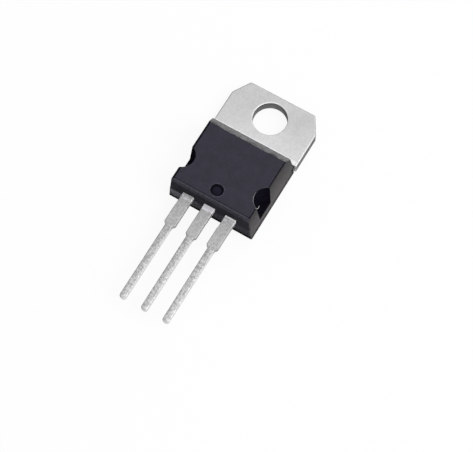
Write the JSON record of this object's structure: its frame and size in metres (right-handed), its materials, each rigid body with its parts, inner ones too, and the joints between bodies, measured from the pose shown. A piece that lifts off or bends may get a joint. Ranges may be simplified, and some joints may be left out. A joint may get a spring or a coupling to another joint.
{
  "type": "triac",
  "caption": "Through-hole triac in a flat moulded package, with an insulated metal tab, a mounting hole and three tinned leads in line.",
  "frame": {"origin": "centre of the mounting hole on the tab's back face", "axes": "+Z out of the front face along the mounting hole, +Y from the leads towards the tab's top edge, +X to the right seen from the front, so the MT1 lead is at -X and the gate lead at +X"},
  "size_m": [0.0104, 0.0282, 0.0045],
  "materials": {
    "tinned_copper": "matte tin plating",
    "moulded_epoxy": "fine-grained moulded epoxy",
    "soft_solder": "satin solder",
    "white_ceramic": "fired alumina",
    "silicon": "polished silicon",
    "bare_copper": "bare copper"
  },
  "bodies": {
    "root": {"heat_tab": "tinned_copper", "moulded_body": "moulded_epoxy", "mt1_lead": "tinned_copper", "mt2_lead": "tinned_copper", "gate_lead": "tinned_copper", "insulator_solder": "soft_solder", "ceramic_insulator": "white_ceramic", "island_solder": "soft_solder", "die_solder": "soft_solder", "silicon_die": "silicon", "mt1_die_joint": "soft_solder", "mt1_clip": "bare_copper", "mt1_lead_joint": "soft_solder", "gate_die_joint": "soft_solder", "gate_clip": "bare_copper", "gate_lead_joint": "soft_solder"}
  },
  "joints": []
}
